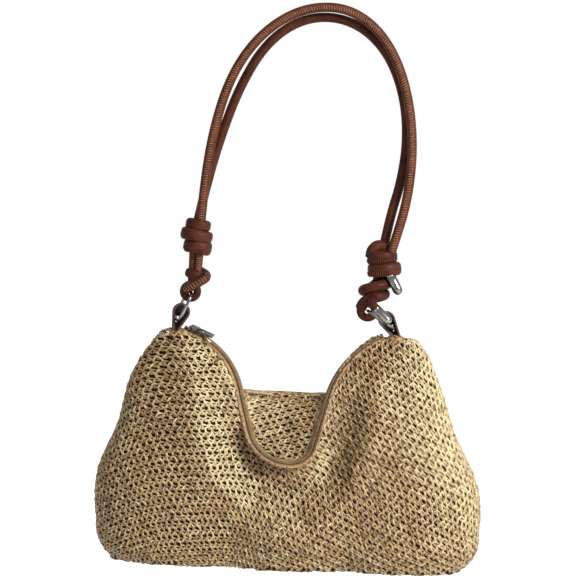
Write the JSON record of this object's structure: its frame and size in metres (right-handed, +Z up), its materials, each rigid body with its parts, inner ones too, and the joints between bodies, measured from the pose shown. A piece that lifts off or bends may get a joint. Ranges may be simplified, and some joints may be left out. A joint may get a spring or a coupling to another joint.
{
  "type": "hobo bag",
  "caption": "Slouching crocheted straw shoulder bag with a curved zipped mouth and a doubled leather cord strap knotted to rings at each side.",
  "frame": {"origin": "the point under the top of the strap where a hook or a shoulder carries the bag", "axes": "+Z up along the hang, +X along the bag's width to the viewer's right, the front with the lower mouth edge faces -Y"},
  "size_m": [0.3393, 0.1081, 0.497],
  "materials": {
    "straw": "crocheted paper straw",
    "lining": "woven cloth",
    "binding": "woven cloth tape",
    "zip_tape": "woven tape",
    "zip_coil": "moulded coil",
    "leather": "smooth, waxed",
    "metal": "polished nickel"
  },
  "bodies": {
    "strap": {"outer_strand": "leather", "inner_strand": "leather", "left_upper_knot": "leather", "left_neck": "leather", "left_lower_knot": "leather", "left_ring_loop": "leather", "left_upper_cap": "metal", "left_lower_cap": "metal", "right_upper_knot": "leather", "right_neck": "leather", "right_lower_knot": "leather", "right_ring_loop": "leather", "right_upper_cap": "metal", "right_lower_cap": "metal"},
    "left_ring": {"left_ring": "metal"},
    "right_ring": {"right_ring": "metal"},
    "bag": {"base_panel": "straw", "front_panel": "straw", "back_panel": "straw", "lining": "lining", "inner_pocket": "lining", "front_binding": "binding", "back_binding": "binding", "front_zip_tape": "zip_tape", "back_zip_tape": "zip_tape", "front_coil": "zip_coil", "back_coil": "zip_coil", "top_stop": "metal", "bottom_stop": "metal", "left_tab": "leather", "right_tab": "leather"},
    "slider": {"zip_slider": "metal"},
    "pull": {"zip_pull": "metal"}
  },
  "joints": [
    {"name": "left_ring_swing", "type": "hinge", "parent": "strap", "child": "left_ring", "pos_m": [-0.11311, 0, -0.24169], "axis": [0.9979, 0, -0.0655], "range_deg": [-14, 14]},
    {"name": "right_ring_swing", "type": "hinge", "parent": "strap", "child": "right_ring", "pos_m": [0.04378, 0, -0.25199], "axis": [0.9979, 0, -0.0655], "range_deg": [-14, 14]},
    {"name": "bag_swing", "type": "hinge", "parent": "left_ring", "child": "bag", "pos_m": [-0.12429, 0, -0.26671], "axis": [1, 0, -0.0005], "range_deg": [-14, 14]},
    {"name": "zip_slide", "type": "hinge", "parent": "bag", "child": "slider", "pos_m": [-0.136, -0.02343, -0.34037], "axis": [0, 0.9397, -0.342], "range_deg": [0, 46]},
    {"name": "zip_pull_swing", "type": "hinge", "parent": "slider", "child": "pull", "pos_m": [-0.10573, -0.00282, -0.27428], "axis": [-0.261, -0.9027, -0.3419], "range_deg": [0, 120]}
  ],
  "couplings": [
    {"joint": "right_ring_swing", "follows": "left_ring_swing", "ratio": 1}
  ]
}
